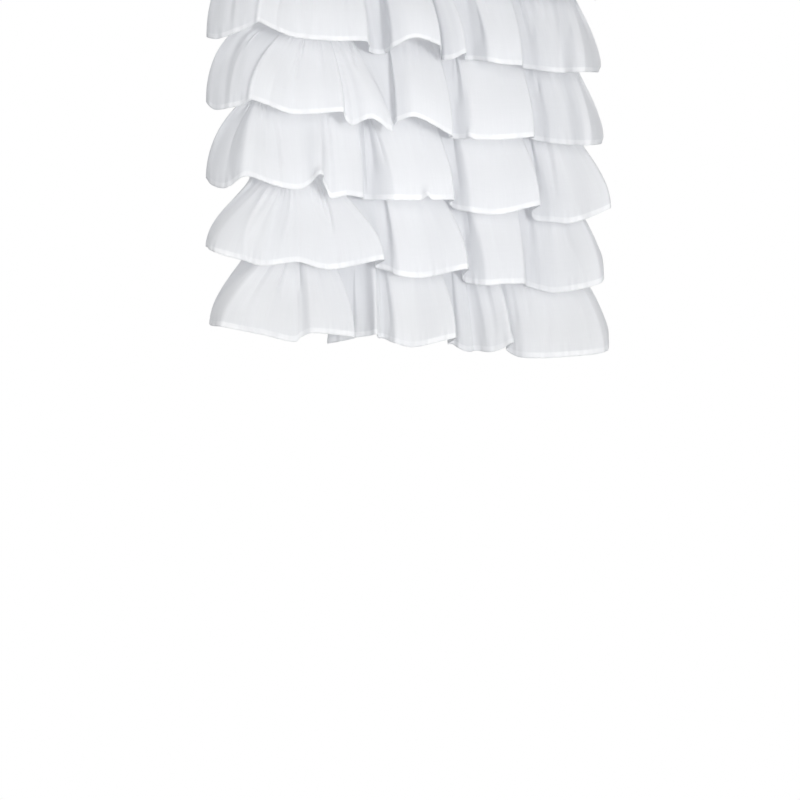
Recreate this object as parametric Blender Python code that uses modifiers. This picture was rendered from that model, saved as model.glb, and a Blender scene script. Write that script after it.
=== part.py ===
"""Ruffled net curtain: a gathered backing panel with six tiers of gathered ruffles sewn across it.

The curtain hangs from its top edge. The middle of that edge is the origin, the ruffles face -Y, the width
runs along X and the cloth hangs down along -Z. Run with: blender --background --python part.py
"""

import math
from collections import namedtuple

import bmesh
import bpy

MM = 0.001

COLLECTION_NAME = "ruffled_net_curtain"

# Backing panel
PANEL_WIDTH = 762 * MM
PANEL_DROP = 936 * MM
PANEL_THICKNESS = 1.2 * MM
PANEL_COLUMNS = 120
PANEL_ROW_SHARES = (0.0, 0.016, 0.032, 0.10, 0.22, 0.40, 0.60, 0.80, 1.0)
WAVE_DEPTH = 3.5 * MM
GATHER_DEPTH = 3.2 * MM
GATHER_COUNT = 19
GATHER_FADE = 30 * MM
GATHER_SWAY = 0.9
GATHER_SWAY_LENGTH = 314 * MM

# The panel's slow waves: length along the width, share of the depth, start angle
SlowWave = namedtuple("SlowWave", "length share start")
SLOW_WAVES = (
    SlowWave(214 * MM, 0.6, 0.6),
    SlowWave(383 * MM, 0.4, 2.1),
)

# Ruffle strips
FIRST_SEAM = 30 * MM
TIER_PITCH = 150 * MM
TIER_DROP = 195 * MM
RUFFLE_THICKNESS = 1.5 * MM
RUFFLE_STEP = 19 * MM
FEWEST_STEPS = 2
ROOT_SHARES = (0.0, 0.1, 0.5, 0.92, 1.0)
RUFFLE_ROW_SHARES = (0.0, 0.12, 0.26, 0.46, 0.72, 1.0)
SEAM_GAP = 0.45 * MM
SEAM_MARGIN = 4 * MM
PRESSED_SHARE = 0.06
RAISED_OUT = 55 * MM
VALLEY_PRESS = 2.0

# White sheer cloth
CLOTH_COLOUR = (0.86, 0.87, 0.89, 1.0)
CLOTH_ROUGHNESS = 0.8

# One wide fold of a ruffle. root: where its two sides meet the seam. x, out and dip name five points of
# the hem, from the foot of the fold on its left, over its left edge, middle and right edge, to the tuck
# behind it: x across the curtain, out from the panel's plane, and dip below the tier's even hem line.
# Above them, the same five points stand at the root shares along the seam.
# spread: 1 for a side that swells early and then hangs straight, 2 for one that flares late.
Fold = namedtuple("Fold", "root x out dip spread")

# Values are millimetres
TIERS = (
    (
        Fold((-376, -322), (-466, -484, -472, -438, -404), (-14, 16, 40, 68, 98), (-26, -8, 4, -12, -26), 0.6),
        Fold((-322, -142), (-360, -304, -232, -160, -126), (82, 72, 70, 84, 30), (-16, -8, -12, -16, -12), 1.1),
        Fold((-96, 20), (-86, -80, -44, 12, 36), (24, 62, 82, 82, 34), (-12, -20, -32, -24, -12), 1.2),
        Fold((24, 66), (44, 48, 64, 88, 104), (34, 50, 66, 74, 28), (-6, -6, -10, -18, -12), 1.2),
        Fold((106, 216), (128, 146, 172, 212, 232), (24, 60, 70, 74, 30), (-16, -6, -2, 0, -6), 1.1),
        Fold((234, 374), (250, 278, 318, 360, 446), (28, 46, 62, 87, -10), (-6, -6, -8, -8, -26), 1.2),
    ),
    (
        Fold((-376, -330), (-464, -484, -472, -446, -424), (-14, 16, 40, 64, 84), (-18, 0, 8, 0, -10), 0.5),
        Fold((-328, -300), (-414, -404, -384, -360, -336), (93, 100, 93, 84, 77), (-16, -22, -18, -12, -8), 1.1),
        Fold((-296, -136), (-318, -296, -224, -156, -122), (73, 71, 70, 86, 30), (-5, -4, -6, -8, 0), 1.1),
        Fold((-96, 18), (-88, -82, -42, 16, 40), (26, 60, 84, 82, 40), (0, -8, -28, -16, -2), 1.3),
        Fold((22, 62), (42, 44, 58, 80, 100), (40, 52, 66, 74, 34), (4, 6, 4, -8, -4), 1.3),
        Fold((106, 220), (120, 142, 172, 212, 236), (30, 62, 70, 76, 38), (-6, 2, 6, 6, 2), 1.1),
        Fold((240, 372), (254, 276, 316, 358, 452), (34, 46, 64, 90, -10), (2, 6, 10, 10, -18), 1.3),
    ),
    (
        Fold((-376, -306), (-464, -484, -476, -454, -436), (-14, 16, 38, 64, 82), (-30, -14, 6, 6, 2), 0.5),
        Fold((-302, -266), (-428, -420, -396, -372, -348), (91, 98, 91, 84, 78), (-2, -8, -6, -2, 3), 1.0),
        Fold((-262, -206), (-330, -312, -252, -210, -194), (73, 72, 70, 82, 64), (6, 8, 0, -4, 4), 1.1),
        Fold((-202, -144), (-186, -176, -140, -92, -86), (64, 68, 84, 74, 46), (14, 18, 4, 26, 8), 2.1),
        Fold((-76, 54), (-74, -72, -36, 44, 56), (46, 62, 84, 80, 44), (6, 0, -8, 24, 20), 1.1),
        Fold((82, 250), (74, 104, 166, 238, 258), (36, 64, 70, 80, 32), (20, 24, 20, 10, 4), 1.1),
        Fold((270, 372), (276, 298, 336, 374, 456), (28, 44, 62, 88, -8), (6, 12, 16, 18, -10), 1.3),
    ),
    (
        Fold((-376, -354), (-460, -482, -478, -458, -432), (-14, 14, 36, 64, 96), (-24, -6, 14, 22, 2), 0.8),
        Fold((-352, -218), (-392, -344, -294, -262, -238), (84, 70, 68, 82, 66), (4, 12, 12, -10, 6), 1.1),
        Fold((-214, -138), (-226, -214, -190, -152, -142), (62, 64, 70, 58, 36), (24, 24, 18, 18, 16), 1.0),
        Fold((-126, 42), (-124, -80, -36, 44, 64), (31, 64, 70, 86, 34), (16, 18, 16, 12, 8), 1.1),
        Fold((76, 238), (74, 102, 166, 248, 258), (32, 58, 66, 84, 34), (20, 30, 30, 8, 12), 1.2),
        Fold((264, 372), (266, 298, 346, 415, 458), (32, 46, 62, 88, 4), (30, 34, 34, 4, -26), 1.4),
    ),
    (
        Fold((-372, -306), (-458, -484, -480, -426, -384), (-12, 22, 56, 82, 66), (-32, -12, 6, 24, 28), 1.7),
        Fold((-302, -194), (-350, -300, -228, -122, -112), (64, 70, 70, 94, 36), (24, 16, 26, 2, 8), 1.8),
        Fold((-94, 48), (-86, -68, -12, 72, 94), (46, 62, 68, 96, 33), (16, 28, 28, 8, 12), 1.2),
        Fold((98, 236), (102, 136, 170, 214, 240), (31, 60, 68, 76, 42), (26, 34, 30, 28, 26), 1.2),
        Fold((266, 370), (258, 274, 312, 390, 442), (40, 44, 60, 91, 14), (30, 34, 38, 18, -20), 1.2),
    ),
    (
        Fold((-374, -282), (-452, -474, -462, -380, -308), (-12, 20, 64, 72, 58), (-24, 0, 10, 22, 30), 1.5),
        Fold((-278, -208), (-290, -272, -232, -182, -220), (60, 72, 76, 84, 38), (20, 12, 12, 18, 26), 1.0),
        Fold((-146, -98), (-164, -150, -134, -120, -106), (22, 30, 44, 60, 38), (12, 8, 6, 4, 8), 1.0),
        Fold((-90, 46), (-92, -74, -32, 44, 64), (36, 58, 68, 94, 24), (8, 20, 26, 6, 8), 1.2),
        Fold((78, 112), (76, 88, 100, 112, 122), (19, 28, 35, 36, 27), (8, 18, 24, 24, 20), 1.1),
        Fold((118, 166), (132, 146, 160, 186, 196), (30, 44, 52, 62, 34), (20, 24, 22, 12, 14), 1.1),
        Fold((186, 372), (206, 230, 310, 398, 456), (34, 50, 64, 90, 10), (22, 32, 28, 16, -18), 1.0),
    ),
)


def clear_scene():
    """Removes every object that the opened file holds."""
    for old in list(bpy.data.objects):
        bpy.data.objects.remove(old, do_unlink=True)


def make_material(name):
    """White sheer cloth as a plain Principled material."""
    material = bpy.data.materials.new(name)
    material.use_nodes = True
    shader = material.node_tree.nodes["Principled BSDF"]
    shader.inputs["Base Color"].default_value = CLOTH_COLOUR
    shader.inputs["Roughness"].default_value = CLOTH_ROUGHNESS
    shader.inputs["Metallic"].default_value = 0.0
    material.diffuse_color = CLOTH_COLOUR
    return material


def add_sheet(name, grid, thickness, collection):
    """Makes a sheet from a grid of points, row by row from the top, thickened evenly about it."""
    mesh = bpy.data.meshes.new(name)
    shell = bmesh.new()
    rows = [[shell.verts.new(point) for point in row] for row in grid]
    for upper, lower in zip(rows, rows[1:]):
        for i in range(len(upper) - 1):
            shell.faces.new((upper[i], lower[i], lower[i + 1], upper[i + 1]))
    shell.to_mesh(mesh)
    shell.free()
    sheet = bpy.data.objects.new(name, mesh)
    collection.objects.link(sheet)
    thicken = sheet.modifiers.new("Cloth thickness", "SOLIDIFY")
    thicken.thickness = thickness
    thicken.offset = 0.0
    thicken.use_even_offset = False
    mesh.materials.append(make_material(name + "_cloth"))
    return sheet


def smooth_step(share):
    """Eases from 0 to 1 and stays there."""
    share = min(max(share, 0.0), 1.0)
    return share * share * (3 - 2 * share)


def panel_front(x, z):
    """Y of the panel's mid surface: slow uneven waves, and finer gathers along the top edge."""
    turn = 2 * math.pi
    slow = sum(wave.share * math.sin(turn * x / wave.length + wave.start) for wave in SLOW_WAVES)
    sway = GATHER_SWAY * math.sin(turn * x / GATHER_SWAY_LENGTH)
    gather = math.cos(turn * GATHER_COUNT * (x / PANEL_WIDTH + 0.5) + sway)
    loose = smooth_step(-z / GATHER_FADE)
    return WAVE_DEPTH * slow * loose + GATHER_DEPTH * gather * (1 - loose)


def build_panel(collection):
    """The backing panel, from its gathered top edge to its bottom hem."""
    grid = []
    for share in PANEL_ROW_SHARES:
        z = -PANEL_DROP * share
        row = []
        for i in range(PANEL_COLUMNS + 1):
            x = (i / PANEL_COLUMNS - 0.5) * PANEL_WIDTH
            row.append((x, panel_front(x, z), z))
        grid.append(row)
    return add_sheet("backing_panel", grid, PANEL_THICKNESS, collection)


def spline(points, share):
    """Point at a share of a smooth curve through the points, evenly by their order."""
    place = share * (len(points) - 1)
    i = min(int(place), len(points) - 2)
    t = place - i
    before = points[max(i - 1, 0)]
    start, end = points[i], points[i + 1]
    after = points[min(i + 2, len(points) - 1)]
    result = []
    for a, b, c, d in zip(before, start, end, after):
        slope_in, slope_out = (c - a) / 2, (d - b) / 2
        result.append(
            b * (2 * t ** 3 - 3 * t ** 2 + 1)
            + slope_in * (t ** 3 - 2 * t ** 2 + t)
            + c * (3 * t ** 2 - 2 * t ** 3)
            + slope_out * (t ** 3 - t ** 2)
        )
    return result


def hem_points(folds):
    """Lists x, out, dip and seam x in metres, and spread, for every named point of a tier's hem."""
    points = []
    for fold in folds:
        left, right = fold.root
        for root_share, x, out, dip in zip(ROOT_SHARES, fold.x, fold.out, fold.dip):
            seam_x = left + (right - left) * root_share
            points.append((x * MM, out * MM, dip * MM, seam_x * MM, fold.spread))
    return points


def hem_shares(points):
    """Shares along the hem's smooth curve, with even steps from each named point to the next."""
    shares = []
    spans = len(points) - 1
    for i, (here, there) in enumerate(zip(points, points[1:])):
        steps = max(FEWEST_STEPS, math.ceil(math.dist(here[:2], there[:2]) / RUFFLE_STEP))
        shares += [(i + step / steps) / spans for step in range(steps)]
    return shares + [1.0]


def build_ruffle(tier, folds, collection):
    """One gathered strip: pressed flat at its seam, swelling into its folds, its valleys last."""
    seam_z = -(FIRST_SEAM + TIER_PITCH * tier)
    points = hem_points(folds)
    shares = hem_shares(points)
    grid = []
    for down in RUFFLE_ROW_SHARES:
        swell = math.sin(math.pi / 2 * max(down - PRESSED_SHARE, 0) / (1 - PRESSED_SHARE))
        row = []
        for share in shares:
            hem_x, out, dip, seam_x, spread = spline(points, share)
            x = seam_x + (hem_x - seam_x) * math.sin(math.pi / 2 * down) ** spread
            z = seam_z - (TIER_DROP + dip) * down
            rest = panel_front(seam_x, seam_z) - (PANEL_THICKNESS + RUFFLE_THICKNESS) / 2 - SEAM_GAP
            rest -= SEAM_MARGIN * smooth_step(down / PRESSED_SHARE)
            press = 1 + VALLEY_PRESS * min(max(1 - out / RAISED_OUT, 0), 1)
            y = rest + (-out - rest) * swell ** press
            row.append((x, y, z))
        grid.append(row)
    return add_sheet("ruffle_" + str(tier + 1), grid, RUFFLE_THICKNESS, collection)


def main():
    clear_scene()
    collection = bpy.data.collections.new(COLLECTION_NAME)
    bpy.context.scene.collection.children.link(collection)
    build_panel(collection)
    for tier, folds in enumerate(TIERS):
        build_ruffle(tier, folds, collection)


main()
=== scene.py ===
"""Looks of the ruffled net curtain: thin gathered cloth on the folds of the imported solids."""

import math
import random
from collections import namedtuple

import bpy
import numpy as np
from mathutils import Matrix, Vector


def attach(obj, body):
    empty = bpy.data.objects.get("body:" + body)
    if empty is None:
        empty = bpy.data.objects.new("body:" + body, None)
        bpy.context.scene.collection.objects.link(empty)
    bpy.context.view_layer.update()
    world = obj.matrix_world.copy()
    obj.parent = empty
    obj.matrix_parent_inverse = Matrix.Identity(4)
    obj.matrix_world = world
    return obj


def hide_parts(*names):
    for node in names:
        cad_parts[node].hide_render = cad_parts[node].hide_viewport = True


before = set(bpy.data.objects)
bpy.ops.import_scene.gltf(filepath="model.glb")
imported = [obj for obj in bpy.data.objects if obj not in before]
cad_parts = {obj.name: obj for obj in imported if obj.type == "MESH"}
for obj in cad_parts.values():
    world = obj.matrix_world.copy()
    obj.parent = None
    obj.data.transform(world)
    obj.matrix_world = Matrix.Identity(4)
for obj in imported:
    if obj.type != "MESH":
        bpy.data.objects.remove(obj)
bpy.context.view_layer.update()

MM = 0.001
TURN = 2 * math.pi

# Backing panel
PANEL_WIDTH = 762 * MM
PANEL_DROP = 936 * MM
PANEL_HALF_THICKNESS = 0.6 * MM
PANEL_COLUMNS = 380
PANEL_ROWS = 260
PANEL_SIDE_HEM = 12 * MM
PANEL_BOTTOM_HEM = 24 * MM
PANEL_SEED = 41
WAVE_DEPTH = 3.5 * MM
GATHER_DEPTH = 3.2 * MM
GATHER_COUNT = 19
GATHER_FADE = 30 * MM
GATHER_SWAY = 0.9
GATHER_SWAY_LENGTH = 314 * MM

# The panel's slow waves: length along the width, share of the depth, start angle
SlowWave = namedtuple("SlowWave", "length share start")
SLOW_WAVES = (
    SlowWave(214 * MM, 0.6, 0.6),
    SlowWave(383 * MM, 0.4, 2.1),
)

# Small puckers of the panel beside every seam, with waves of uneven length in millimetres
PUCKER_DEPTH = 0.22 * MM
PUCKER_REACH = 26 * MM
PUCKER_FALL_OFF = 1.5
PUCKER_WAVES = 9
PUCKER_LENGTHS = (9, 30)

# Soft folds in which the panel hangs: widths in millimetres, tops and lengths as shares of its drop
HANG_COUNT = 16
HANG_DEPTH = 1.0 * MM
HANG_WIDTHS = (10, 34)
HANG_TOPS = (-0.2, 0.6)
HANG_LENGTHS = (0.3, 0.8)
HANG_FADE = 90 * MM

# Ruffle strips
FIRST_SEAM = 30 * MM
TIER_PITCH = 150 * MM
TIER_DROP = 195 * MM
SOLID_HALF_THICKNESS = 0.75 * MM
RUFFLE_COLUMNS = 620
RUFFLE_ROWS = 56
RUFFLE_HEM = 10.5 * MM
RUFFLE_SIDE_HEM = 5 * MM
RUFFLE_SEED = 100
ROOT_SHARES = (0.0, 0.1, 0.5, 0.92, 1.0)
CURVE_STEPS = 6000
SEAM_GAP = 0.45 * MM
SEAM_MARGIN = 4 * MM
PRESSED_SHARE = 0.06
RAISED_OUT = 55 * MM
VALLEY_PRESS = 2.0
SMALLEST_SPREAD = 0.2
LOOSE_SHARE = 0.12

# The second layer of a ruffle's hem, and how far up the hem each of its rows lies
HEM_BACK_GAP = 0.7 * MM
HEM_BACK_ROWS = (0.0, 0.5, 1.0)

# Narrow ridges at the sides of each fold's front
EDGE_DEPTH = 2.1 * MM
EDGE_WIDTH = 8 * MM
EDGE_START = 0.5
RIDGE_ROUND = 1.7

# The soft ends of a listed crease, as shares of its length beyond and inside its ends
CREASE_BEFORE = 0.12
CREASE_RISE = 0.3
CREASE_AFTER = 0.15
CREASE_FALL = 0.35
CREASE_LINE = (-0.3, 1.2)

# Painted shade: valleys and steep sides of folds are painted darker, standing in for the shade where less
# light reaches them
HOLLOW_OUT = 66 * MM
HOLLOW_DEPTH = 27 * MM
HOLLOW_START = 0.15
FLANK_SLOPE = 0.35
FLANK_SPAN = 0.45
FLANK_SHARE = 0.7
WEDGE_BLUR = 24 * MM
WEDGE_END_BLUR = 30 * MM

# The free corner at a strip's right end lifts a little
CORNER_REACH = 34 * MM
CORNER_LIFT = 15 * MM
CORNER_START = 0.55
CORNER_ROUND = 1.5

# Fine gathers below a seam. Spacing and depth are the middle values, and each gather has its own share of
# the spacing, of the depth and of the reach, which is a share of the drop.
PLEAT_SPACING = 11 * MM
PLEAT_DEPTH = 1.5 * MM
PLEAT_REACH = 0.22
PLEAT_GAPS = (0.65, 1.45)
PLEAT_WIDTHS = (0.35, 0.5)
PLEAT_LENGTHS = (0.5, 0.7, 0.9, 1.1, 1.6, 2.3)
PLEAT_LENGTH_CHANGE = (0.8, 1.2)
PLEAT_DRIFT = (-0.5, 0.5)
PLEAT_HEIGHTS = (0.6, 1.3)
PLEAT_WIDEN = 0.8

# Soft ridges and troughs of the hanging part, with tops and bottoms as shares of the drop
SOFT_COUNT = 30
SOFT_DEPTH = 1.3 * MM
SOFT_WIDTH = 12 * MM
SOFT_WIDTHS = (0.5, 1.6)
SOFT_TOPS = (-0.3, 0.0, 0.25, 0.5)
SOFT_BOTTOMS = (0.8, 1.2, 1.5)
SOFT_FADE = 0.45

# Uneven waves of the hem's edge, with lengths in millimetres
FLUTTER_DEPTH = 0.8 * MM
FLUTTER_REACH = 0.22
FLUTTER_FALL_OFF = 1.5
FLUTTER_WAVES = 7
FLUTTER_LENGTHS = (9, 34)
FLUTTER_PEAK = 2.2
WAVE_HEIGHTS = (0.3, 1.0)
WAVE_STARTS = (0, 6.28)

# Cloth
WEAVE_PITCH = 1.1 * MM
WARP_STRETCH = (520, 14, 1)
WARP_DETAIL = 3.0
WEFT_STRETCH = (12, 430, 1)
WEFT_DETAIL = 2.0
MOTTLE_SCALE = 9.0
MOTTLE_DETAIL = 2.0
HEM_SOFT = 1.6 * MM
SIDE_HEM_SOFT = 1.0 * MM
HEM_PATCH_SCALE = 16.0
HEM_PATCH_DETAIL = 2.0
HEM_PATCH_RANGE = (0.38, 0.60)
HEM_PATCH_LEAST = 0.34
STITCH_LENGTH = 2.8 * MM
STITCH_INSET = 1.0 * MM
STITCH_HALF_WIDTH = 0.5 * MM
STITCH_SOFT = 0.25 * MM
BODY_DARK = (0.848, 0.854, 0.868, 1)
BODY_LIGHT = (0.888, 0.893, 0.908, 1)
BODY_RANGE = (0.3, 0.7)
HEM_WHITE = (0.972, 0.974, 0.98, 1)
# The grey that the painted shade multiplies the cloth's colour by
PAINTED_SHADE_TINT = (0.911, 0.915, 0.923, 1)
LIGHT_THROUGH = 0.42
ROUGHNESS = 0.72
SLUB_ROUGHNESS = 0.2
SHINE = 0.25
SHEEN = 0.15
SHEEN_ROUGHNESS = 0.5
RELIEF_STRENGTH = 0.6
RELIEF_HEIGHT = 0.35 * MM

# Shares of the cloth's unevenness in tone
WARP_TONE = 0.5
WEFT_TONE = 0.25
MOTTLE_TONE = 0.25

# Shares of the cloth's relief height
WEAVE_RELIEF = 0.05
WARP_RELIEF = 0.14
WEFT_RELIEF = 0.2
HEM_RELIEF = 0.8
STITCH_RELIEF = 1.0

# Studio, in metres, watts and degrees
FLOOR_HALF = 30.0
FLOOR_LEVEL = -2.6
FLOOR_COLOUR = (0.82, 0.82, 0.82, 1)
FLOOR_ROUGHNESS = 0.9
FLOOR_GLOW = 0.35
SKY_COLOUR = (0.98, 0.99, 1.0, 1)
SKY_LEFT = 0.76
SKY_RIGHT = 0.25
WHITE = (1, 1, 1, 1)
KEY_PLACE = (1.1, -6.0, -1.9)
KEY_AIM = (-0.04, 0, -0.64)
KEY_SPREAD = 17
KEY_RADIUS = 0.8
KEY_POWER = 1360
LAMP_AIM = (0, 0, -0.5)
SoftLamp = namedtuple("SoftLamp", "name place width height power")
SOFT_LAMPS = (
    SoftLamp("front_wall", (-0.3, -5.5, 0.2), 6.0, 4.5, 112),
    SoftLamp("left_fill", (-4.4, -3.4, -1.6), 2.2, 1.2, 16),
    SoftLamp("back_fill", (-0.8, 4.0, 0.9), 3.0, 2.4, 30),
)
CAMERA_PLACE = (-2.976, -6.301, -1.944)
CAMERA_TILT = 96.88
CAMERA_TURN = -25
CAMERA_LENS = 150.2
CAMERA_SENSOR = 36
CAMERA_CLIP = (0.1, 100)

# One wide fold of a ruffle. root: where its two sides meet the seam. x, out and dip name five points of
# the hem, from the foot of the fold on its left, over its left edge, middle and right edge, to the tuck
# behind it: x across the curtain, out from the panel's plane, and dip below the tier's even hem line.
# Above them, the same five points stand at the root shares along the seam.
# spread: 1 for a side that swells early and then hangs straight, 2 for one that flares late.
Fold = namedtuple("Fold", "root x out dip spread")

# Values are millimetres, apart from the spread
TIERS = (
    (
        Fold((-376, -322), (-466, -484, -472, -438, -404), (-14, 16, 40, 68, 98),
             (-26, -8, 4, -12, -26), 0.6),
        Fold((-322, -142), (-360, -304, -232, -160, -126), (82, 72, 70, 84, 30),
             (-16, -8, -12, -16, -12), 1.1),
        Fold((-96, 20), (-86, -80, -44, 12, 36), (24, 62, 82, 82, 34), (-12, -20, -32, -24, -12), 1.2),
        Fold((24, 66), (44, 48, 64, 88, 104), (34, 50, 66, 74, 28), (-6, -6, -10, -18, -12), 1.2),
        Fold((106, 216), (128, 146, 172, 212, 232), (24, 60, 70, 74, 30), (-16, -6, -2, 0, -6), 1.1),
        Fold((234, 374), (250, 278, 318, 360, 446), (28, 46, 62, 87, -10), (-6, -6, -8, -8, -26), 1.2),
    ),
    (
        Fold((-376, -330), (-464, -484, -472, -446, -424), (-14, 16, 40, 64, 84),
             (-18, 0, 8, 0, -10), 0.5),
        Fold((-328, -300), (-414, -404, -384, -360, -336), (93, 100, 93, 84, 77),
             (-16, -22, -18, -12, -8), 1.1),
        Fold((-296, -136), (-318, -296, -224, -156, -122), (73, 71, 70, 86, 30),
             (-5, -4, -6, -8, 0), 1.1),
        Fold((-96, 18), (-88, -82, -42, 16, 40), (26, 60, 84, 82, 40), (0, -8, -28, -16, -2), 1.3),
        Fold((22, 62), (42, 44, 58, 80, 100), (40, 52, 66, 74, 34), (4, 6, 4, -8, -4), 1.3),
        Fold((106, 220), (120, 142, 172, 212, 236), (30, 62, 70, 76, 38), (-6, 2, 6, 6, 2), 1.1),
        Fold((240, 372), (254, 276, 316, 358, 452), (34, 46, 64, 90, -10), (2, 6, 10, 10, -18), 1.3),
    ),
    (
        Fold((-376, -306), (-464, -484, -476, -454, -436), (-14, 16, 38, 64, 82),
             (-30, -14, 6, 6, 2), 0.5),
        Fold((-302, -266), (-428, -420, -396, -372, -348), (91, 98, 91, 84, 78),
             (-2, -8, -6, -2, 3), 1.0),
        Fold((-262, -206), (-330, -312, -252, -210, -194), (73, 72, 70, 82, 64), (6, 8, 0, -4, 4), 1.1),
        Fold((-202, -144), (-186, -176, -140, -92, -86), (64, 68, 84, 74, 46), (14, 18, 4, 26, 8), 2.1),
        Fold((-76, 54), (-74, -72, -36, 44, 56), (46, 62, 84, 80, 44), (6, 0, -8, 24, 20), 1.1),
        Fold((82, 250), (74, 104, 166, 238, 258), (36, 64, 70, 80, 32), (20, 24, 20, 10, 4), 1.1),
        Fold((270, 372), (276, 298, 336, 374, 456), (28, 44, 62, 88, -8), (6, 12, 16, 18, -10), 1.3),
    ),
    (
        Fold((-376, -354), (-460, -482, -478, -458, -432), (-14, 14, 36, 64, 96),
             (-24, -6, 14, 22, 2), 0.8),
        Fold((-352, -218), (-392, -344, -294, -262, -238), (84, 70, 68, 82, 66),
             (4, 12, 12, -10, 6), 1.1),
        Fold((-214, -138), (-226, -214, -190, -152, -142), (62, 64, 70, 58, 36),
             (24, 24, 18, 18, 16), 1.0),
        Fold((-126, 42), (-124, -80, -36, 44, 64), (31, 64, 70, 86, 34), (16, 18, 16, 12, 8), 1.1),
        Fold((76, 238), (74, 102, 166, 248, 258), (32, 58, 66, 84, 34), (20, 30, 30, 8, 12), 1.2),
        Fold((264, 372), (266, 298, 346, 415, 458), (32, 46, 62, 88, 4), (30, 34, 34, 4, -26), 1.4),
    ),
    (
        Fold((-372, -306), (-458, -484, -480, -426, -384), (-12, 22, 56, 82, 66),
             (-32, -12, 6, 24, 28), 1.7),
        Fold((-302, -194), (-350, -300, -228, -122, -112), (64, 70, 70, 94, 36),
             (24, 16, 26, 2, 8), 1.8),
        Fold((-94, 48), (-86, -68, -12, 72, 94), (46, 62, 68, 96, 33), (16, 28, 28, 8, 12), 1.2),
        Fold((98, 236), (102, 136, 170, 214, 240), (31, 60, 68, 76, 42), (26, 34, 30, 28, 26), 1.2),
        Fold((266, 370), (258, 274, 312, 390, 442), (40, 44, 60, 91, 14), (30, 34, 38, 18, -20), 1.2),
    ),
    (
        Fold((-374, -282), (-452, -474, -462, -380, -308), (-12, 20, 64, 72, 58),
             (-24, 0, 10, 22, 30), 1.5),
        Fold((-278, -208), (-290, -272, -232, -182, -220), (60, 72, 76, 84, 38),
             (20, 12, 12, 18, 26), 1.0),
        Fold((-146, -98), (-164, -150, -134, -120, -106), (22, 30, 44, 60, 38), (12, 8, 6, 4, 8), 1.0),
        Fold((-90, 46), (-92, -74, -32, 44, 64), (36, 58, 68, 94, 24), (8, 20, 26, 6, 8), 1.2),
        Fold((78, 112), (76, 88, 100, 112, 122), (19, 28, 35, 36, 27), (8, 18, 24, 24, 20), 1.1),
        Fold((118, 166), (132, 146, 160, 186, 196), (30, 44, 52, 62, 34), (20, 24, 22, 12, 14), 1.1),
        Fold((186, 372), (206, 230, 310, 398, 456), (34, 50, 64, 90, 10), (22, 32, 28, 16, -18), 1.0),
    ),
)


# One listed crease. above and below are its two ends: how far along the strip it lies in
# millimetres, and the share of the way down. depth is positive for a ridge and negative for a groove.
Crease = namedtuple("Crease", "above below depth width")

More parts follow.
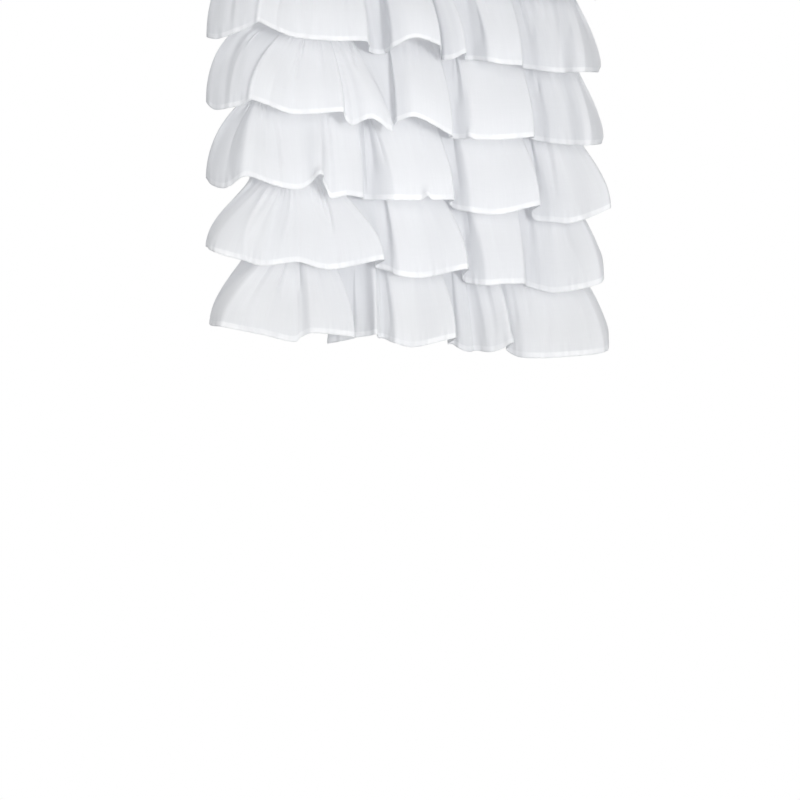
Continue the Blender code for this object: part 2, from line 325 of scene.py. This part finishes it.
# Values are millimetres, apart from the shares
CREASES = (
    (
        Crease((300, 0.12), (292, 0.95), -2.5, 9),
        Crease((533, 0.08), (524, 0.95), -5, 14),
        Crease((876, 0.10), (864, 0.75), -4, 11),
        Crease((1018, 0.10), (1020, 0.60), -5, 10),
        Crease((1120, 0.10), (1100, 0.85), 3, 7),
    ),
    (
        Crease((300, 0.35), (293, 0.97), -2.5, 9),
        Crease((86, 0.20), (92, 0.90), -3, 9),
        Crease((204, 0.15), (206, 0.80), 2.5, 9),
        Crease((487, 0.08), (492, 0.85), -4, 10),
        Crease((530, 0.08), (528, 0.97), -5, 12),
        Crease((878, 0.10), (860, 0.78), -5, 11),
        Crease((897, 0.10), (890, 0.55), -3, 7),
        Crease((1016, 0.08), (1021, 0.68), -5, 11),
        Crease((1052, 0.10), (1034, 0.62), -4, 7),
        Crease((1078, 0.12), (1062, 0.50), -3, 6),
        Crease((1106, 0.10), (1080, 0.85), 3, 8),
        Crease((1140, 0.10), (1108, 0.60), -2, 7),
    ),
    (
        Crease((257, 0.10), (255, 0.64), -4, 5),
        Crease((246, 0.12), (244, 0.58), 2.5, 6),
        Crease((322, 0.12), (318, 0.70), -2, 10),
        Crease((70, 0.20), (84, 0.90), -3, 10),
        Crease((466, 0.08), (446, 0.44), -4, 7),
        Crease((505, 0.08), (490, 0.85), -4, 8),
        Crease((527, 0.10), (515, 0.75), 4, 6),
        Crease((542, 0.08), (534, 0.90), -5, 7),
        Crease((757, 0.10), (750, 0.62), -4, 8),
        Crease((741, 0.10), (737, 0.40), -3, 6),
        Crease((778, 0.10), (776, 0.55), -3, 8),
        Crease((996, 0.08), (965, 0.50), -5, 9),
        Crease((1023, 0.08), (1009, 0.45), -4, 7),
        Crease((1090, 0.10), (1085, 0.65), 2.5, 10),
    ),
    (
        Crease((249, 0.12), (241, 0.80), -3, 11),
        Crease((200, 0.12), (194, 0.70), -2.5, 9),
        Crease((82, 0.20), (96, 0.90), -3, 10),
        Crease((312, 0.12), (312, 0.97), -2.5, 6),
        Crease((460, 0.10), (463, 0.75), -4, 8),
        Crease((477, 0.12), (473, 0.97), 5, 6),
        Crease((498, 0.08), (490, 0.72), -5, 11),
        Crease((524, 0.10), (520, 0.60), -3, 9),
        Crease((690, 0.08), (668, 0.55), -4, 10),
        Crease((742, 0.10), (746, 0.85), -3, 9),
        Crease((1004, 0.08), (990, 0.78), -6, 11),
        Crease((1050, 0.10), (1036, 0.74), -4, 7),
        Crease((1064, 0.10), (1052, 0.50), 3, 6),
        Crease((1130, 0.15), (1132, 0.90), -2, 14),
    ),
    (
        Crease((101, 0.20), (139, 0.97), 4, 10),
        Crease((188, 0.15), (208, 0.97), -5, 17),
        Crease((258, 0.10), (236, 0.75), 3.5, 9),
        Crease((385, 0.12), (358, 0.62), -4.5, 5),
        Crease((366, 0.10), (350, 0.45), -2.5, 6),
        Crease((516, 0.08), (512, 0.80), -5, 11),
        Crease((537, 0.12), (533, 0.78), 5, 7),
        Crease((555, 0.08), (543, 0.78), -5, 8),
        Crease((805, 0.08), (798, 0.70), -5, 10),
        Crease((825, 0.08), (815, 0.52), -3, 8),
        Crease((868, 0.12), (872, 0.85), -2, 9),
        Crease((950, 0.08), (946, 0.62), -5, 8),
        Crease((992, 0.08), (977, 0.85), -6, 9),
        Crease((1052, 0.15), (1101, 0.97), -3, 17),
    ),
    (
        Crease((94, 0.15), (86, 0.97), 3.5, 9),
        Crease((118, 0.12), (128, 0.88), -3.5, 9),
        Crease((160, 0.08), (192, 0.60), -5, 6),
        Crease((270, 0.08), (263, 0.54), -4, 6),
        Crease((293, 0.12), (283, 0.88), 3.5, 8),
        Crease((318, 0.12), (315, 0.62), -2.5, 7),
        Crease((530, 0.08), (535, 0.98), -5, 16),
        Crease((594, 0.10), (588, 0.96), 5, 7),
        Crease((616, 0.08), (614, 0.90), -4, 9),
        Crease((832, 0.08), (836, 0.98), -5, 12),
        Crease((865, 0.12), (865, 0.92), 2.5, 9),
        Crease((895, 0.08), (899, 0.95), -4, 10),
        Crease((945, 0.12), (948, 0.80), -3, 10),
        Crease((982, 0.12), (978, 0.95), 4, 9),
        Crease((1012, 0.08), (1006, 0.90), -5, 9),
        Crease((1050, 0.08), (1036, 0.70), -4, 8),
        Crease((1095, 0.08), (1068, 0.60), -4, 6),
        Crease((1136, 0.08), (1096, 0.93), -4, 12),
        Crease((1204, 0.10), (1190, 0.90), -3, 10),
    ),
)

# A small curl of the hem: the tier, how far along its strip, its width, how far it stands out and how
# much it lifts the edge, in millimetres. It starts at a share of the way down.
TUFT_START = 0.80
TUFT_ROUND = 2.2
Tuft = namedtuple("Tuft", "tier at width out lift")
TUFTS = (
    Tuft(2, 772, 7, 5, 4),
    Tuft(3, 314, 8, 9, 7),
    Tuft(3, 604, 7, 9, 7),
    Tuft(5, 978, 8, 8, 8),
)

# Left ends that hang open, so that the painted shade covers only a wedge of them: the tier, how far along
# the strip the wedge reaches at the seam and at the hem, and where the open part ends, in millimetres
Wedge = namedtuple("Wedge", "tier seam hem end")
PAINTED_SHADE_WEDGES = (
    Wedge(4, 70, 45, 150),
    Wedge(5, 104, 30, 150),
)


def spline(points, places):
    """Points at places along a smooth curve, where place 0 is the first point and 1 is the next."""
    i = np.minimum(places.astype(int), len(points) - 2)
    t = (places - i)[:, None]
    before = points[np.maximum(i - 1, 0)]
    start, end = points[i], points[i + 1]
    after = points[np.minimum(i + 2, len(points) - 1)]
    slope_in, slope_out = (end - before) / 2, (after - start) / 2
    return (
        start * (2 * t ** 3 - 3 * t ** 2 + 1)
        + slope_in * (t ** 3 - 2 * t ** 2 + t)
        + end * (3 * t ** 2 - 2 * t ** 3)
        + slope_out * (t ** 3 - t ** 2)
    )


def smooth_step(share):
    """Eases from 0 to 1 and stays there."""
    share = np.clip(share, 0.0, 1.0)
    return share * share * (3 - 2 * share)


def uneven_wave(along, rng, count, lengths):
    """The sum of a few waves, each with its own length, height and start. Lengths are in millimetres."""
    wave = np.zeros(len(along))
    for _ in range(count):
        length = rng.uniform(*lengths) * MM
        wave += rng.uniform(*WAVE_HEIGHTS) * np.sin(TURN * along / length + rng.uniform(*WAVE_STARTS))
    return wave


def seam_height(tier):
    """Z of the seam from which a tier hangs."""
    return -(FIRST_SEAM + TIER_PITCH * tier)


def panel_front(x, z):
    """Y of the panel's mid surface: slow uneven waves, and finer gathers along the top edge."""
    slow = sum(wave.share * np.sin(TURN * x / wave.length + wave.start) for wave in SLOW_WAVES)
    sway = GATHER_SWAY * np.sin(TURN * x / GATHER_SWAY_LENGTH)
    gather = np.cos(TURN * GATHER_COUNT * (x / PANEL_WIDTH + 0.5) + sway)
    loose = smooth_step(-z / GATHER_FADE)
    return WAVE_DEPTH * slow * loose + GATHER_DEPTH * gather * (1 - loose)


def hem_points(folds):
    """Array of x, out, dip and seam x in metres, and spread, for every named point of a tier's hem."""
    points = []
    for fold in folds:
        left, right = fold.root
        for root_share, x, out, dip in zip(ROOT_SHARES, fold.x, fold.out, fold.dip):
            seam_x = left + (right - left) * root_share
            points.append((x * MM, out * MM, dip * MM, seam_x * MM, fold.spread))
    return np.array(points)


def even_places(points, count):
    """Places along the hem's smooth curve, evenly by length, and how far along the strip each one is."""
    fine = np.linspace(0, len(points) - 1, CURVE_STEPS)
    curve = spline(points, fine)
    steps = np.hypot(np.diff(curve[:, 0]), np.diff(curve[:, 1]))
    along = np.concatenate([[0], np.cumsum(steps)])
    wanted = np.linspace(0, along[-1], count)
    return np.interp(wanted, along, fine), wanted


def normals_of(grid):
    """Unit normals of a grid of points, towards the front."""
    across = np.gradient(grid, axis=1)
    down = np.gradient(grid, axis=0)
    normal = np.cross(down, across)
    normal /= np.maximum(np.linalg.norm(normal, axis=2, keepdims=True), 1e-12)
    return normal


def gather_relief(along, down, rng):
    """Fine creases that run down from the seam: each has its own place, width, depth and length."""
    relief = np.zeros((len(down), len(along)))
    at = 0.0
    side = 1
    while at < along[-1]:
        gap = PLEAT_SPACING * rng.uniform(*PLEAT_GAPS)
        at += gap
        side = -side
        width = gap * rng.uniform(*PLEAT_WIDTHS)
        length = PLEAT_REACH * rng.choice(PLEAT_LENGTHS) * rng.uniform(*PLEAT_LENGTH_CHANGE)
        fade = np.exp(-(down / length) ** 2)
        drift = rng.uniform(*PLEAT_DRIFT) * gap
        wide = width * (1 + PLEAT_WIDEN * down[:, None])
        offset = (along[None, :] - at - drift * down[:, None]) / wide
        relief += side * PLEAT_DEPTH * rng.uniform(*PLEAT_HEIGHTS) * fade[:, None] * np.exp(-offset ** 2)
    return relief


def soft_relief(along, down, rng):
    """Soft ridges and troughs that run down the hanging part, a few of them up from the hem only."""
    relief = np.zeros((len(down), len(along)))
    for _ in range(SOFT_COUNT):
        at = rng.uniform(0, along[-1])
        wide = SOFT_WIDTH * rng.uniform(*SOFT_WIDTHS)
        top = rng.choice(SOFT_TOPS)
        bottom = rng.choice(SOFT_BOTTOMS)
        fade = smooth_step((down - top) / SOFT_FADE) * smooth_step((bottom - down) / SOFT_FADE)
        drift = rng.uniform(-1.0, 1.0) * wide
        offset = (along[None, :] - at - drift * down[:, None]) / wide
        relief += rng.uniform(-1, 1) * SOFT_DEPTH * fade[:, None] * np.exp(-offset ** 2)
    return relief


def placed_relief(along, down, creases):
    """The listed ridges and grooves, with soft ends."""
    relief = np.zeros((len(down), len(along)))
    for crease in creases:
        (start, top), (end, bottom) = crease.above, crease.below
        t = (down - top) / (bottom - top)
        centre = (start + (end - start) * np.clip(t, *CREASE_LINE)) * MM
        fade = smooth_step((t + CREASE_BEFORE) / CREASE_RISE)
        fade = fade * smooth_step((1 + CREASE_AFTER - t) / CREASE_FALL)
        offset = np.abs(along[None, :] - centre[:, None]) / (crease.width * MM)
        relief += crease.depth * MM * fade[:, None] * np.exp(-offset ** RIDGE_ROUND)
    return relief


def pinched_edges(along, down, places, folds):
    """Narrow ridges where a fold's front turns to its sides, at its second and fourth hem points."""
    relief = np.zeros((len(down), len(along)))
    fade = smooth_step(down / EDGE_START)[:, None]
    for i in range(len(folds)):
        for corner in (1, 3):
            centre = np.interp(len(ROOT_SHARES) * i + corner, places, along)
            offset = np.abs(along - centre) / EDGE_WIDTH
            relief += EDGE_DEPTH * fade * np.exp(-offset ** RIDGE_ROUND)[None, :]
    return relief


def edge_flutter(along, down, rng):
    """Small uneven waves of the hem's edge."""
    wave = uneven_wave(along, rng, FLUTTER_WAVES, FLUTTER_LENGTHS)
    fade = smooth_step((down - 1 + FLUTTER_REACH) / FLUTTER_REACH) ** FLUTTER_FALL_OFF
    return FLUTTER_DEPTH / FLUTTER_PEAK * wave[None, :] * fade[:, None]


def tuft_shape(tuft, along, down):
    """How much of a tuft each point of the strip has across it, and down it."""
    across = np.exp(-np.abs((along - tuft.at * MM) / (tuft.width * MM)) ** TUFT_ROUND)
    return across[None, :], smooth_step((down - TUFT_START) / (1 - TUFT_START))[:, None]


def painted_shade_amount(tier, out, along, down):
    """How much painted shade each point of a strip gets: 0 on the folds' fronts, 1 in deep valleys and on
    steep sides.
    """
    deep = smooth_step((HOLLOW_OUT - out) / HOLLOW_DEPTH)
    steep = smooth_step((np.abs(np.gradient(out, along)) - FLANK_SLOPE) / FLANK_SPAN)
    shade = 1 - (1 - deep) * (1 - FLANK_SHARE * steep)
    shade = shade[None, :] * smooth_step(down / HOLLOW_START)[:, None]
    # Painted shade over a wedge of an open left end, and none on the rest of that end
    for wedge in PAINTED_SHADE_WEDGES:
        if wedge.tier == tier:
            reach = (wedge.seam + (wedge.hem - wedge.seam) * down[:, None]) * MM
            inside = smooth_step((reach - along[None, :]) / WEDGE_BLUR + 0.5)
            open_end = 1 - smooth_step((along[None, :] - wedge.end * MM) / WEDGE_END_BLUR + 0.5)
            shade += (inside - shade) * open_end
    return shade


def folded_strip(tier, points, places, down):
    """Points of a strip in its wide folds alone, pressed to the panel at its seam."""
    seam_z = seam_height(tier)
    hem_x, out, dip, seam_x, spread = spline(points, places).T
    rest = panel_front(seam_x, seam_z) - PANEL_HALF_THICKNESS - SOLID_HALF_THICKNESS - SEAM_GAP
    rest = rest[None, :] - SEAM_MARGIN * smooth_step(down / PRESSED_SHARE)[:, None]
    swell = np.sin(TURN / 4 * np.maximum(down - PRESSED_SHARE, 0) / (1 - PRESSED_SHARE))[:, None]
    widen = np.sin(TURN / 4 * down)[:, None] ** np.maximum(spread, SMALLEST_SPREAD)[None, :]
    press = 1 + VALLEY_PRESS * np.clip(1 - out / RAISED_OUT, 0, 1)
    x = seam_x[None, :] + (hem_x - seam_x)[None, :] * widen
    y = rest + (-out[None, :] - rest) * swell ** press[None, :]
    z = seam_z - (TIER_DROP + dip)[None, :] * down[:, None]
    return np.stack([x, y, z], axis=-1), out


def hem_back(grid, down):
    """Rows of the hem's second layer, which folds back up behind the first."""
    normal = normals_of(grid)[-1]
    rows = []
    for share in HEM_BACK_ROWS:
        level = 1 - share * RUFFLE_HEM / TIER_DROP
        row = [[np.interp(level, down, column[:, axis]) for axis in range(3)]
               for column in grid.transpose(1, 0, 2)]
        rows.append(np.array(row) - normal * HEM_BACK_GAP)
    return np.array(rows)


def ruffle_grid(tier, folds, rng):
    """Points of one strip, their places on the flat cloth, and how much painted shade each of them gets.
    """
    points = hem_points(folds)
    places, along = even_places(points, RUFFLE_COLUMNS)
    down = np.linspace(0, 1, RUFFLE_ROWS)
    grid, out = folded_strip(tier, points, places, down)

    relief = gather_relief(along, down, rng)
    relief += soft_relief(along, down, rng)
    relief += placed_relief(along, down, CREASES[tier])
    relief += pinched_edges(along, down, places, folds)
    relief += edge_flutter(along, down, rng)
    for tuft in TUFTS:
        if tuft.tier == tier:
            across, low = tuft_shape(tuft, along, down)
            relief += tuft.out * MM * low * across
            grid[:, :, 2] += tuft.lift * MM * low ** 2 * across
    end = np.clip(1 - (along[-1] - along) / CORNER_REACH, 0, 1)
    low = smooth_step((down - CORNER_START) / (1 - CORNER_START)) ** CORNER_ROUND
    grid[:, :, 2] += CORNER_LIFT * low[:, None] * (end ** 2)[None, :]
    loose = smooth_step(down / LOOSE_SHARE)[:, None]
    grid += normals_of(grid) * (relief * loose)[:, :, None]

    # Painted shade, which darkens the cloth's colour in valleys and on steep sides
    painted_shade = painted_shade_amount(tier, out, along, down)
    grid = np.concatenate([grid, hem_back(grid, down)])
    painted_shade = np.concatenate([painted_shade, painted_shade[-1:].repeat(len(HEM_BACK_ROWS), axis=0)])
    cloth_v = np.concatenate([TIER_DROP * (1 - down), RUFFLE_HEM * np.array(HEM_BACK_ROWS)])
    u = np.broadcast_to(along[None, :], grid.shape[:2])
    v = np.broadcast_to(cloth_v[:, None], grid.shape[:2])
    return grid, u, v, painted_shade


def panel_grid(rng):
    """Points of the backing panel, with puckers along every seam, and their places on the flat cloth."""
    x = np.linspace(-PANEL_WIDTH / 2, PANEL_WIDTH / 2, PANEL_COLUMNS)
    z = -np.linspace(0, PANEL_DROP, PANEL_ROWS)
    flat_x, flat_z = np.meshgrid(x, z)
    y = panel_front(flat_x, flat_z)
    for tier in range(len(TIERS)):
        wave = uneven_wave(x, rng, PUCKER_WAVES, PUCKER_LENGTHS)
        near = np.exp(-(np.abs(z - seam_height(tier)) / PUCKER_REACH) ** PUCKER_FALL_OFF)
        y += PUCKER_DEPTH * wave[None, :] * near[:, None]
    for _ in range(HANG_COUNT):
        at = rng.uniform(-PANEL_WIDTH / 2, PANEL_WIDTH / 2)
        wide = rng.uniform(*HANG_WIDTHS) * MM
        top = rng.uniform(*HANG_TOPS) * PANEL_DROP
        bottom = top + rng.uniform(*HANG_LENGTHS) * PANEL_DROP
        fade = smooth_step((-z - top) / HANG_FADE) * smooth_step((bottom + z) / HANG_FADE)
        y += rng.uniform(-1, 1) * HANG_DEPTH * fade[:, None] * np.exp(-((flat_x - at) / wide) ** 2)
    return np.stack([flat_x, y, flat_z], axis=-1), flat_x + PANEL_WIDTH / 2, PANEL_DROP + flat_z


def add_sheet(name, grid, cloth_u, cloth_v, painted_shade):
    """Makes a smooth sheet from a grid of points, with its place on the flat cloth, in metres, as UV."""
    rows, columns = grid.shape[:2]
    index = np.arange(rows * columns).reshape(rows, columns)
    corners = [index[:-1, :-1], index[1:, :-1], index[1:, 1:], index[:-1, 1:]]
    quads = np.stack(corners, axis=-1).reshape(-1, 4)
    mesh = bpy.data.meshes.new(name)
    mesh.vertices.add(rows * columns)
    mesh.vertices.foreach_set("co", grid.reshape(-1).astype(np.float32))
    mesh.loops.add(quads.size)
    mesh.loops.foreach_set("vertex_index", quads.reshape(-1).astype(np.int32))
    mesh.polygons.add(len(quads))
    mesh.polygons.foreach_set("loop_start", np.arange(0, quads.size, 4, dtype=np.int32))
    mesh.polygons.foreach_set("loop_total", np.full(len(quads), 4, dtype=np.int32))
    mesh.update()
    mesh.validate()
    uv = mesh.uv_layers.new(name="flat_cloth")
    flat = np.stack([cloth_u.reshape(-1), cloth_v.reshape(-1)], axis=-1)[quads.reshape(-1)]
    uv.data.foreach_set("uv", flat.reshape(-1).astype(np.float32))
    # The painted shade that darkens the cloth's colour
    shade = mesh.attributes.new("painted_shade", "FLOAT", "POINT")
    shade.data.foreach_set("value", painted_shade.reshape(-1).astype(np.float32))
    mesh.shade_smooth()
    piece = bpy.data.objects.new(name, mesh)
    bpy.context.scene.collection.objects.link(piece)
    return piece


class Shader:
    """The nodes of a material or a world, with short calls that add and join them."""

    def __init__(self, owner):
        owner.use_nodes = True
        self.tree = owner.node_tree
        self.tree.nodes.clear()

    def node(self, kind, **settings):
        """A new node with its settings."""
        made = self.tree.nodes.new(kind)
        for key, value in settings.items():
            setattr(made, key, value)
        return made

    def put(self, socket, value):
        """Joins a socket to another one, or gives it a constant."""
        if isinstance(value, bpy.types.NodeSocket):
            self.tree.links.new(value, socket)
        else:
            socket.default_value = value

    def calc(self, operation, a, b=0.0, c=0.0):
        """One sum."""
        made = self.node("ShaderNodeMath", operation=operation)
        for socket, value in zip(made.inputs, (a, b, c)):
            self.put(socket, value)
        return made.outputs[0]

    def below(self, value, limit, soft):
        """1 where the value lies below the limit, with a soft change of this half width."""
        made = self.node("ShaderNodeMapRange", interpolation_type="SMOOTHSTEP")
        self.put(made.inputs["Value"], value)
        made.inputs["From Min"].default_value = limit + soft
        made.inputs["From Max"].default_value = limit - soft
        return made.outputs["Result"]

    def ramp(self, value, start, end, least=0.0, most=1.0):
        """From least, where the value is start, to most, where it is end."""
        made = self.node("ShaderNodeMapRange")
        self.put(made.inputs["Value"], value)
        made.inputs["From Min"].default_value = start
        made.inputs["From Max"].default_value = end
        made.inputs["To Min"].default_value = least
        made.inputs["To Max"].default_value = most
        return made.outputs["Result"]

    def noise(self, place, scale, detail):
        """Soft noise over the cloth."""
        made = self.node("ShaderNodeTexNoise")
        made.inputs["Scale"].default_value = scale
        made.inputs["Detail"].default_value = detail
        self.put(made.inputs["Vector"], place)
        return made.outputs["Fac"]

    def slubs(self, place, stretch, detail):
        """Noise that is drawn out along the threads."""
        made = self.node("ShaderNodeMapping")
        made.inputs["Scale"].default_value = stretch
        self.put(made.inputs["Vector"], place)
        return self.noise(made.outputs[0], 1.0, detail)

    def blend(self, factor, a, b, kind="MIX"):
        """Mixes two colours."""
        made = self.node("ShaderNodeMix", data_type="RGBA", blend_type=kind)
        self.put(made.inputs["Factor"], factor)
        self.put(made.inputs["A"], a)
        self.put(made.inputs["B"], b)
        return made.outputs["Result"]

    def mix(self, factor, first, second):
        """Mixes two surfaces or backgrounds."""
        made = self.node("ShaderNodeMixShader")
        self.put(made.inputs["Fac"], factor)
        self.put(made.inputs[1], first)
        self.put(made.inputs[2], second)
        return made.outputs[0]


# What the cloth's colour and relief share: slubs along and across, the doubled hems and the stitches
Threads = namedtuple("Threads", "warp weft hems stitches")


def cloth_threads(shader, place, u, v, width, hem, side_hem):
    """Slubs along the threads, the bottom and side hems, and the stitches that hold the bottom hem."""
    warp = shader.slubs(place, WARP_STRETCH, WARP_DETAIL)
    weft = shader.slubs(place, WEFT_STRETCH, WEFT_DETAIL)
    from_side = shader.calc("MINIMUM", u, shader.calc("SUBTRACT", width, u))
    bottom_hem = shader.below(v, hem, HEM_SOFT)
    hems = shader.calc("MAXIMUM", bottom_hem, shader.below(from_side, side_hem, SIDE_HEM_SOFT))
    from_row = shader.calc("ABSOLUTE", shader.calc("SUBTRACT", v, hem - STITCH_INSET))
    row = shader.below(from_row, STITCH_HALF_WIDTH, STITCH_SOFT)
    dash = shader.calc("SINE", shader.calc("MULTIPLY", u, TURN / STITCH_LENGTH))
    stitches = shader.calc("MULTIPLY", row, shader.calc("MULTIPLY_ADD", dash, 0.5, 0.5))
    return Threads(warp, weft, hems, stitches)


def cloth_colour(shader, place, threads):
    """White, uneven along the threads, whiter in the hems, with painted shade that makes it greyer in the
    valleys between the folds and on their steep sides.
    """
    mottle = shader.noise(place, MOTTLE_SCALE, MOTTLE_DETAIL)
    tone = shader.calc("MULTIPLY", threads.warp, WARP_TONE)
    tone = shader.calc("ADD", tone, shader.calc("MULTIPLY", threads.weft, WEFT_TONE))
    tone = shader.calc("ADD", tone, shader.calc("MULTIPLY", mottle, MOTTLE_TONE))
    body = shader.blend(shader.ramp(tone, *BODY_RANGE), BODY_DARK, BODY_LIGHT)
    patches = shader.noise(place, HEM_PATCH_SCALE, HEM_PATCH_DETAIL)
    patches = shader.ramp(patches, *HEM_PATCH_RANGE, HEM_PATCH_LEAST)
    colour = shader.blend(shader.calc("MULTIPLY", threads.hems, patches), body, HEM_WHITE)
    # Painted shade: the cloth's colour is multiplied towards grey where the strip lies in valleys and on
    # steep sides
    painted_shade = shader.node("ShaderNodeAttribute", attribute_name="painted_shade")
    return shader.blend(painted_shade.outputs["Fac"], colour, PAINTED_SHADE_TINT, "MULTIPLY")


def cloth_relief(shader, u, v, threads):
    """Plain weave, slubs, raised hems and sunk stitches."""
    warp = shader.calc("SINE", shader.calc("MULTIPLY", u, TURN / WEAVE_PITCH))
    weft = shader.calc("SINE", shader.calc("MULTIPLY", v, TURN / WEAVE_PITCH))
    height = shader.calc("MULTIPLY", shader.calc("MULTIPLY", warp, weft), WEAVE_RELIEF)
    height = shader.calc("ADD", height, shader.calc("MULTIPLY", threads.warp, WARP_RELIEF))
    height = shader.calc("ADD", height, shader.calc("MULTIPLY", threads.weft, WEFT_RELIEF))
    height = shader.calc("ADD", height, shader.calc("MULTIPLY", threads.hems, HEM_RELIEF))
    height = shader.calc("SUBTRACT", height, shader.calc("MULTIPLY", threads.stitches, STITCH_RELIEF))
    bump = shader.node("ShaderNodeBump")
    bump.inputs["Strength"].default_value = RELIEF_STRENGTH
    bump.inputs["Distance"].default_value = RELIEF_HEIGHT
    shader.put(bump.inputs["Height"], height)
    return bump.outputs["Normal"]


def make_cloth(name, width, hem, side_hem):
    """Fine white voile: plain weave, slubs, doubled hems with a stitched line, light passing through."""
    material = bpy.data.materials.new(name)
    shader = Shader(material)
    place = shader.node("ShaderNodeUVMap", uv_map="flat_cloth").outputs["UV"]
    split = shader.node("ShaderNodeSeparateXYZ")
    shader.put(split.inputs[0], place)
    u, v = split.outputs["X"], split.outputs["Y"]
    threads = cloth_threads(shader, place, u, v, width, hem, side_hem)
    colour = cloth_colour(shader, place, threads)

    cloth = shader.node("ShaderNodeBsdfPrincipled")
    shader.put(cloth.inputs["Base Color"], colour)
    roughness = shader.calc("MULTIPLY_ADD", threads.warp, SLUB_ROUGHNESS, ROUGHNESS)
    shader.put(cloth.inputs["Roughness"], roughness)
    cloth.inputs["Specular IOR Level"].default_value = SHINE
    cloth.inputs["Sheen Weight"].default_value = SHEEN
    cloth.inputs["Sheen Roughness"].default_value = SHEEN_ROUGHNESS
    shader.put(cloth.inputs["Normal"], cloth_relief(shader, u, v, threads))
    through = shader.node("ShaderNodeBsdfTranslucent")
    shader.put(through.inputs["Color"], colour)
    output = shader.node("ShaderNodeOutputMaterial")
    shader.put(output.inputs["Surface"], shader.mix(LIGHT_THROUGH, cloth.outputs[0], through.outputs[0]))
    return material


def dress(piece, node, material):
    """Puts the material on a piece, hangs it on the root body and hides the solid that it stands for."""
    piece.data.materials.append(material)
    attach(piece, "root")
    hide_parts(node)


def add_panel():
    """The backing panel's cloth."""
    grid, u, v = panel_grid(random.Random(PANEL_SEED))
    piece = add_sheet("backing_cloth", grid, u, v, np.zeros(u.shape))
    material = make_cloth("backing_panel_voile", PANEL_WIDTH, PANEL_BOTTOM_HEM, PANEL_SIDE_HEM)
    dress(piece, "backing_panel", material)


def add_ruffles():
    """The cloth of the six ruffles, from the top down."""
    for tier, folds in enumerate(TIERS):
        name = "ruffle_" + str(tier + 1)
        grid, u, v, painted_shade = ruffle_grid(tier, folds, random.Random(RUFFLE_SEED + tier))
        piece = add_sheet(name + "_frill", grid, u, v, painted_shade)
        material = make_cloth(name + "_voile", u.max(), RUFFLE_HEM, RUFFLE_SIDE_HEM)
        dress(piece, name, material)


def add_floor():
    """A plain pale floor, which the camera sees a little brighter than it is lit."""
    mesh = bpy.data.meshes.new("studio_floor")
    signs = ((-1, -1), (1, -1), (1, 1), (-1, 1))
    corners = [(x * FLOOR_HALF, y * FLOOR_HALF, FLOOR_LEVEL) for x, y in signs]
    mesh.from_pydata(corners, [], [(0, 1, 2, 3)])
    floor = bpy.data.objects.new("studio_floor", mesh)
    bpy.context.scene.collection.objects.link(floor)
    paint = bpy.data.materials.new("studio_floor_paint")
    shader = Shader(paint)
    surface = shader.node("ShaderNodeBsdfPrincipled")
    surface.inputs["Base Color"].default_value = FLOOR_COLOUR
    surface.inputs["Roughness"].default_value = FLOOR_ROUGHNESS
    surface.inputs["Emission Color"].default_value = WHITE
    seen = shader.node("ShaderNodeLightPath").outputs["Is Camera Ray"]
    shader.put(surface.inputs["Emission Strength"], shader.calc("MULTIPLY", seen, FLOOR_GLOW))
    output = shader.node("ShaderNodeOutputMaterial")
    shader.put(output.inputs["Surface"], surface.outputs[0])
    mesh.materials.append(paint)


def add_sky():
    """White for the camera, and a soft light for the cloth that is stronger from the left."""
    world = bpy.data.worlds.new("studio")
    bpy.context.scene.world = world
    shader = Shader(world)
    seen = shader.node("ShaderNodeBackground")
    seen.inputs["Color"].default_value = WHITE
    seen.inputs["Strength"].default_value = 1.0
    lit = shader.node("ShaderNodeBackground")
    lit.inputs["Color"].default_value = SKY_COLOUR
    split = shader.node("ShaderNodeSeparateXYZ")
    shader.put(split.inputs[0], shader.node("ShaderNodeTexCoord").outputs["Generated"])
    shader.put(lit.inputs["Strength"], shader.ramp(split.outputs["X"], -1.0, 1.0, SKY_LEFT, SKY_RIGHT))
    camera_ray = shader.node("ShaderNodeLightPath").outputs["Is Camera Ray"]
    output = shader.node("ShaderNodeOutputWorld")
    shader.put(output.inputs["Surface"], shader.mix(camera_ray, lit.outputs[0], seen.outputs[0]))


def add_lamp(name, kind, place, aim, power):
    """A lamp at a place, turned to an aim, that the camera doesn't see."""
    lamp = bpy.data.lights.new(name, kind)
    lamp.energy = power
    holder = bpy.data.objects.new(name, lamp)
    bpy.context.scene.collection.objects.link(holder)
    holder.location = place
    holder.visible_camera = False
    holder.rotation_euler = (Vector(aim) - Vector(place)).to_track_quat("-Z", "Y").to_euler()
    return lamp


def add_lamps():
    """A large soft spot that lights the middle most, and three large soft lamps."""
    key = add_lamp("key", "SPOT", KEY_PLACE, KEY_AIM, KEY_POWER)
    key.spot_size = math.radians(KEY_SPREAD)
    key.spot_blend = 1.0
    key.shadow_soft_size = KEY_RADIUS
    for soft in SOFT_LAMPS:
        lamp = add_lamp(soft.name, "AREA", soft.place, LAMP_AIM, soft.power)
        lamp.shape = "RECTANGLE"
        lamp.size, lamp.size_y = soft.width, soft.height


def add_camera():
    """The camera, below the curtain and to its left."""
    camera_data = bpy.data.cameras.new("view")
    camera_data.lens = CAMERA_LENS
    camera_data.sensor_width = CAMERA_SENSOR
    camera_data.clip_start, camera_data.clip_end = CAMERA_CLIP
    camera = bpy.data.objects.new("view", camera_data)
    camera.location = CAMERA_PLACE
    camera.rotation_euler = (math.radians(CAMERA_TILT), 0, math.radians(CAMERA_TURN))
    bpy.context.scene.collection.objects.link(camera)
    bpy.context.scene.camera = camera
    bpy.context.scene.view_settings.view_transform = "Standard"


add_floor()
add_sky()
add_lamps()
add_camera()
add_panel()
add_ruffles()

bpy.context.view_layer.update()
